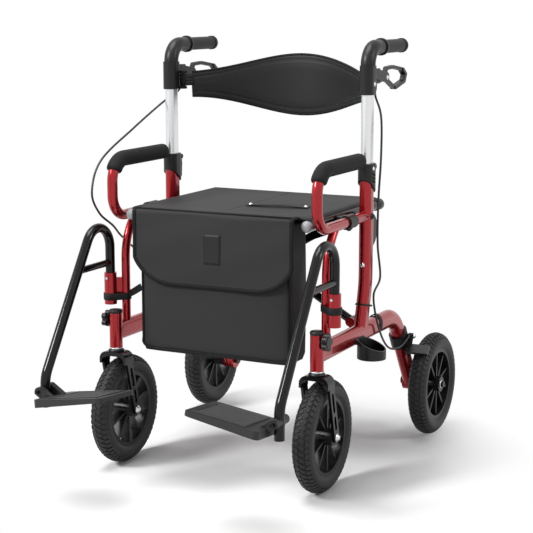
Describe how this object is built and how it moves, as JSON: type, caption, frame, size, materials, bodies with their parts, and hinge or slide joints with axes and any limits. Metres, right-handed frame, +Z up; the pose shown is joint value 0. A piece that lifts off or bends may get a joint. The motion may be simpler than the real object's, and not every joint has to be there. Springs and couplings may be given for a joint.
{
  "type": "rollator transport chair",
  "caption": "Folding walking aid and transport chair: tube side frames on wheels, cross-folding sling seat, swing-away footrests, loop brakes, back band and bag.",
  "frame": {"origin": "middle of the bounding box on the floor", "axes": "+Z up, the chair faces -Y, +X is its left-hand side as seen from the front, the nodes named right lie at +X as the picture shows them"},
  "size_m": [0.688, 1.0128, 0.986],
  "materials": {
    "frame_paint": "gloss dark red powder coat",
    "black_tube": "satin black powder coat",
    "handle_alloy": "satin anodised aluminium",
    "black_moulding": "fine-grained black moulding",
    "grip_rubber": "soft black rubber",
    "foam": "black closed-cell foam",
    "tyre_rubber": "dark grey tyre",
    "cable_jacket": "black cable jacket",
    "cloth": "black woven nylon",
    "steel": "bright steel"
  },
  "bodies": {
    "right_frame": {"right_lower_rail": "frame_paint", "right_upright": "frame_paint", "right_arm_loop": "frame_paint", "right_arm_pad": "foam", "right_front_leg": "frame_paint", "right_seat_saddle": "black_moulding", "right_height_collar": "black_moulding", "right_brake_bracket": "black_moulding", "right_brake_cable": "cable_jacket", "cane_cup": "black_moulding", "cane_clip": "black_moulding"},
    "left_frame": {"left_lower_rail": "frame_paint", "left_upright": "frame_paint", "left_arm_loop": "frame_paint", "left_arm_pad": "foam", "left_front_leg": "frame_paint", "left_seat_saddle": "black_moulding", "left_height_collar": "black_moulding", "left_brake_bracket": "black_moulding", "left_brake_cable": "cable_jacket"},
    "front_bar": {"front_cross_bar": "black_tube"},
    "rear_bar": {"rear_cross_bar": "black_tube"},
    "bag_body": {"bag": "cloth"},
    "flap": {"bag_flap": "cloth"},
    "right_seat_half": {"right_seat": "cloth"},
    "right_strut_arm": {"right_strut": "black_tube"},
    "right_handle": {"right_handle_post": "handle_alloy", "right_handle_sleeve": "black_moulding", "right_hand_grip": "grip_rubber"},
    "right_back_half": {"right_backrest": "cloth"},
    "right_brake_lever_arm": {"right_brake_lever": "black_moulding"},
    "right_brake_shoe_arm": {"right_brake_shoe": "black_moulding"},
    "right_height_latch": {"right_collar_lever": "black_moulding"},
    "right_caster": {"right_caster_fork": "black_tube"},
    "right_front_wheel": {"right_front_tyre": "tyre_rubber", "right_front_rim": "black_moulding"},
    "right_rear_wheel": {"right_rear_tyre": "tyre_rubber", "right_rear_rim": "black_moulding"},
    "right_knob": {"right_star_knob": "black_moulding"},
    "right_hanger": {"right_footrest": "black_tube"},
    "right_plate": {"right_footplate": "black_moulding"},
    "right_button": {"right_hanger_button": "steel"},
    "left_seat_half": {"left_seat": "cloth"},
    "left_strut_arm": {"left_strut": "black_tube"},
    "left_handle": {"left_handle_post": "handle_alloy", "left_handle_sleeve": "black_moulding", "left_hand_grip": "grip_rubber"},
    "left_back_half": {"left_backrest": "cloth"},
    "left_brake_lever_arm": {"left_brake_lever": "black_moulding"},
    "left_brake_shoe_arm": {"left_brake_shoe": "black_moulding"},
    "left_height_latch": {"left_collar_lever": "black_moulding"},
    "left_caster": {"left_caster_fork": "black_tube"},
    "left_front_wheel": {"left_front_tyre": "tyre_rubber", "left_front_rim": "black_moulding"},
    "left_rear_wheel": {"left_rear_tyre": "tyre_rubber", "left_rear_rim": "black_moulding"},
    "left_knob": {"left_star_knob": "black_moulding"},
    "left_hanger": {"left_footrest": "black_tube"},
    "left_plate": {"left_footplate": "black_moulding"},
    "left_button": {"left_hanger_button": "steel"}
  },
  "joints": [
    {"name": "fold", "type": "hinge", "parent": "right_frame", "child": "front_bar", "pos_m": [0.22, 0.08345, 0.335], "axis": [0, 1, 0], "range_deg": [0, 52.7], "deforming": ["right_seat", "left_seat", "right_backrest", "left_backrest", "bag", "bag_flap"]},
    {"name": "cross_pivot", "type": "hinge", "parent": "front_bar", "child": "rear_bar", "pos_m": [0, 0.08345, 0.463], "axis": [0, 1, 0], "range_deg": [-105.4, 0]},
    {"name": "left_pivot", "type": "hinge", "parent": "rear_bar", "child": "left_frame", "pos_m": [-0.22, 0.08345, 0.335], "axis": [0, 1, 0], "range_deg": [0, 52.7]},
    {"name": "bag_hang", "type": "hinge", "parent": "rear_bar", "child": "bag_body", "pos_m": [0.22, 0.08345, 0.591], "axis": [0, 1, 0], "range_deg": [0, 52.7]},
    {"name": "flap_hinge", "type": "hinge", "parent": "bag_body", "child": "flap", "pos_m": [0, -0.16685, 0.6075], "axis": [-1, 0, 0], "range_deg": [0, 110]},
    {"name": "right_seat_fold", "type": "hinge", "parent": "rear_bar", "child": "right_seat_half", "pos_m": [0.22, 0.08345, 0.591], "axis": [0, 1, 0], "range_deg": [-29.07, 0]},
    {"name": "right_strut_pivot", "type": "hinge", "parent": "right_frame", "child": "right_strut_arm", "pos_m": [0.216, 0.08345, 0.564], "axis": [0, 1, 0], "range_deg": [0, 104.7]},
    {"name": "right_handle_height", "type": "slide", "parent": "right_frame", "child": "right_handle", "axis": [0, 0, 1], "range_m": [-0.1, 0.025], "deforming": ["right_brake_cable"]},
    {"name": "right_back_fold", "type": "hinge", "parent": "right_handle", "child": "right_back_half", "pos_m": [0.233, 0.09545, 0.878], "axis": [0, 0, 1], "range_deg": [-43.6, 0]},
    {"name": "right_brake_lever_squeeze", "type": "hinge", "parent": "right_handle", "child": "right_brake_lever_arm", "pos_m": [0.255, 0.16945, 0.896], "axis": [1, 0, 0], "range_deg": [0, 15]},
    {"name": "right_brake_shoe_turn", "type": "hinge", "parent": "right_frame", "child": "right_brake_shoe_arm", "pos_m": [0.281, 0.30902, 0.25944], "axis": [1, 0, 0], "range_deg": [0, 5]},
    {"name": "right_height_latch_turn", "type": "hinge", "parent": "right_frame", "child": "right_height_latch", "pos_m": [0.255, 0.10845, 0.696], "axis": [1, 0, 0], "range_deg": [0, 100]},
    {"name": "right_caster_swivel", "type": "hinge", "parent": "right_frame", "child": "right_caster", "pos_m": [0.255, -0.19055, 0.3], "axis": [0, 0, 1], "continuous": true},
    {"name": "right_front_wheel_roll", "type": "hinge", "parent": "right_caster", "child": "right_front_wheel", "pos_m": [0.255, -0.15755, 0.127], "axis": [1, 0, 0], "continuous": true},
    {"name": "right_rear_wheel_roll", "type": "hinge", "parent": "right_frame", "child": "right_rear_wheel", "pos_m": [0.313, 0.37945, 0.127], "axis": [1, 0, 0], "continuous": true},
    {"name": "right_knob_turn", "type": "hinge", "parent": "right_frame", "child": "right_knob", "pos_m": [0.277, -0.19055, 0.346], "axis": [1, 0, 0], "range_deg": [-180, 180]},
    {"name": "right_footrest_swing", "type": "hinge", "parent": "right_frame", "child": "right_hanger", "pos_m": [0.284, -0.16455, 0.41], "axis": [0, 0, 1], "range_deg": [0, 150]},
    {"name": "right_footplate_flip", "type": "hinge", "parent": "right_hanger", "child": "right_plate", "pos_m": [0.284, -0.43501, 0.235], "axis": [0, 1, 0], "range_deg": [0, 80]},
    {"name": "right_button_press", "type": "slide", "parent": "right_frame", "child": "right_button", "axis": [0, -1, 0], "range_m": [-0.0025, 0]},
    {"name": "left_seat_fold", "type": "hinge", "parent": "front_bar", "child": "left_seat_half", "pos_m": [-0.22, 0.08345, 0.591], "axis": [0, 1, 0], "range_deg": [0, 29.07]},
    {"name": "left_strut_pivot", "type": "hinge", "parent": "left_frame", "child": "left_strut_arm", "pos_m": [-0.216, 0.08345, 0.564], "axis": [0, 1, 0], "range_deg": [-104.7, 0]},
    {"name": "left_handle_height", "type": "slide", "parent": "left_frame", "child": "left_handle", "axis": [0, 0, 1], "range_m": [-0.1, 0.025], "deforming": ["left_brake_cable"]},
    {"name": "left_back_fold", "type": "hinge", "parent": "left_handle", "child": "left_back_half", "pos_m": [-0.233, 0.09545, 0.878], "axis": [0, 0, 1], "range_deg": [0, 43.6]},
    {"name": "left_brake_lever_squeeze", "type": "hinge", "parent": "left_handle", "child": "left_brake_lever_arm", "pos_m": [-0.255, 0.16945, 0.896], "axis": [1, 0, 0], "range_deg": [0, 15]},
    {"name": "left_brake_shoe_turn", "type": "hinge", "parent": "left_frame", "child": "left_brake_shoe_arm", "pos_m": [-0.281, 0.30902, 0.25944], "axis": [1, 0, 0], "range_deg": [0, 5]},
    {"name": "left_height_latch_turn", "type": "hinge", "parent": "left_frame", "child": "left_height_latch", "pos_m": [-0.255, 0.10845, 0.696], "axis": [1, 0, 0], "range_deg": [0, 100]},
    {"name": "left_caster_swivel", "type": "hinge", "parent": "left_frame", "child": "left_caster", "pos_m": [-0.255, -0.19055, 0.3], "axis": [0, 0, 1], "continuous": true},
    {"name": "left_front_wheel_roll", "type": "hinge", "parent": "left_caster", "child": "left_front_wheel", "pos_m": [-0.255, -0.15755, 0.127], "axis": [1, 0, 0], "continuous": true},
    {"name": "left_rear_wheel_roll", "type": "hinge", "parent": "left_frame", "child": "left_rear_wheel", "pos_m": [-0.313, 0.37945, 0.127], "axis": [1, 0, 0], "continuous": true},
    {"name": "left_knob_turn", "type": "hinge", "parent": "left_frame", "child": "left_knob", "pos_m": [-0.277, -0.19055, 0.346], "axis": [1, 0, 0], "range_deg": [-180, 180]},
    {"name": "left_footrest_swing", "type": "hinge", "parent": "left_frame", "child": "left_hanger", "pos_m": [-0.284, -0.16455, 0.41], "axis": [0, 0, -1], "range_deg": [0, 150]},
    {"name": "left_footplate_flip", "type": "hinge", "parent": "left_hanger", "child": "left_plate", "pos_m": [-0.284, -0.43501, 0.235], "axis": [0, -1, 0], "range_deg": [0, 80]},
    {"name": "left_button_press", "type": "slide", "parent": "left_frame", "child": "left_button", "axis": [0, -1, 0], "range_m": [-0.0025, 0]}
  ],
  "couplings": [
    {"joint": "cross_pivot", "follows": "fold", "ratio": -2},
    {"joint": "left_pivot", "follows": "fold", "ratio": 1},
    {"joint": "bag_hang", "follows": "fold", "ratio": 1},
    {"joint": "right_seat_fold", "follows": "fold", "ratio": -0.5516},
    {"joint": "right_strut_pivot", "follows": "fold", "ratio": 1.9867},
    {"joint": "right_back_fold", "follows": "fold", "ratio": -0.82734},
    {"joint": "right_brake_shoe_turn", "follows": "right_brake_lever_squeeze", "ratio": 0.33333},
    {"joint": "right_footplate_flip", "follows": "fold", "ratio": 1.518},
    {"joint": "left_seat_fold", "follows": "fold", "ratio": 0.5516},
    {"joint": "left_strut_pivot", "follows": "fold", "ratio": -1.9867},
    {"joint": "left_back_fold", "follows": "fold", "ratio": 0.82734},
    {"joint": "left_brake_shoe_turn", "follows": "left_brake_lever_squeeze", "ratio": 0.33333},
    {"joint": "left_footplate_flip", "follows": "fold", "ratio": 1.518},
    {"joint": "left_handle_height", "follows": "right_handle_height", "ratio": 1}
  ]
}
